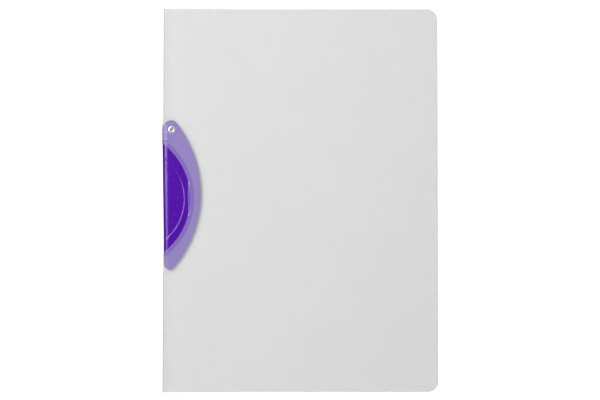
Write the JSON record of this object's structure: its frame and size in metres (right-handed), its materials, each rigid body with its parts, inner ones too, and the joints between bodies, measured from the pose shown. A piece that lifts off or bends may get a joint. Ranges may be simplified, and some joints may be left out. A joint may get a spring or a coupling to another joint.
{
  "type": "clip folder",
  "caption": "A4 clip folder of frosted translucent film with a purple half-moon steel clip that swings out of the spine to hold loose sheets.",
  "frame": {"origin": "under the middle of the closed folder's box, on the surface that it lies on", "axes": "+X from the spine to the fore edge, +Y up the page along the spine, +Z through the covers, out of the front"},
  "size_m": [0.2232, 0.31, 0.0048],
  "materials": {
    "film": "frosted translucent film",
    "lacquer": "gloss purple lacquer on spring steel",
    "nickel": "nickel plated"
  },
  "bodies": {
    "back": {"back_cover": "film", "rivet": "nickel"},
    "spine": {"spine_lower": "film", "spine_upper": "film"},
    "front": {"front_cover": "film"},
    "clip": {"swing_clip": "lacquer"}
  },
  "joints": [
    {"name": "spine_fold", "type": "hinge", "parent": "back", "child": "spine", "pos_m": [-0.11015, 0, 0.0002], "axis": [0, -1, 0], "range_deg": [0, 90]},
    {"name": "cover_fold", "type": "hinge", "parent": "spine", "child": "front", "pos_m": [-0.11015, 0, 0.0046], "axis": [0, -1, 0], "range_deg": [0, 90]},
    {"name": "clip_swing", "type": "hinge", "parent": "back", "child": "clip", "pos_m": [-0.10365, 0.0566, 0.002], "axis": [0, 0, -1], "range_deg": [0, 50]}
  ],
  "couplings": [
    {"joint": "spine_fold", "follows": "cover_fold", "ratio": 1}
  ]
}
